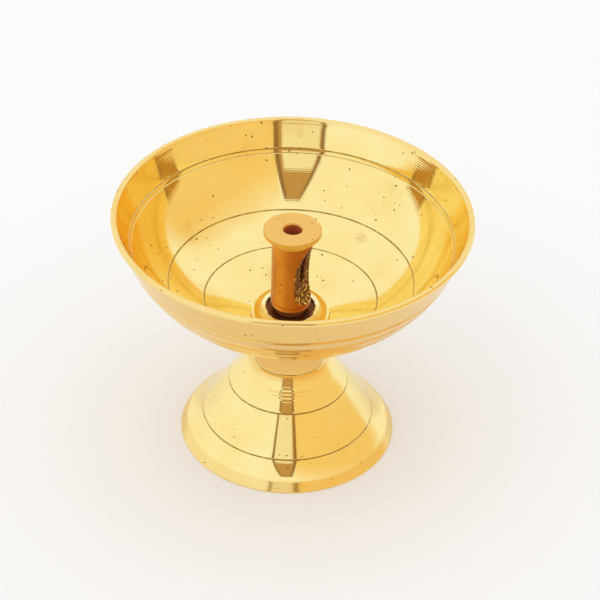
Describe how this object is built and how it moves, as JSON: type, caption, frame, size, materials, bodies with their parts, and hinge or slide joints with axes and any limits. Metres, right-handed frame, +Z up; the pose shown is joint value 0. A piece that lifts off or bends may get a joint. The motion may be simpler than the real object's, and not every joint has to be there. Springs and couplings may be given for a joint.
{
  "type": "butter lamp",
  "caption": "Turned brass butter lamp: open bowl with incised rings on a hollow conical foot, with a removable wick post that has a flared head and a scooped feed opening.",
  "frame": {"origin": "centre of the foot's rest ring, on the table, under the lamp's axis", "axes": "+Z up along the turning axis; the scooped feed opening of the post faces +X, turned 25 degrees to -Y"},
  "size_m": [0.07, 0.07, 0.0525],
  "materials": {
    "polished_brass": "polished",
    "turned_brass": "turned, part tarnished",
    "plain_brass": "satin",
    "red_fibre": "matte"
  },
  "bodies": {
    "base": {"foot": "polished_brass", "bowl": "polished_brass", "post_collar": "turned_brass", "seal_washer": "red_fibre", "centre_stud": "plain_brass", "plain_washer": "plain_brass", "hex_nut": "plain_brass"},
    "post": {"wick_post": "turned_brass"}
  },
  "joints": [
    {"name": "post_lift", "type": "slide", "parent": "base", "child": "post", "axis": [0, 0, 1], "range_m": [0, 0.025]}
  ]
}
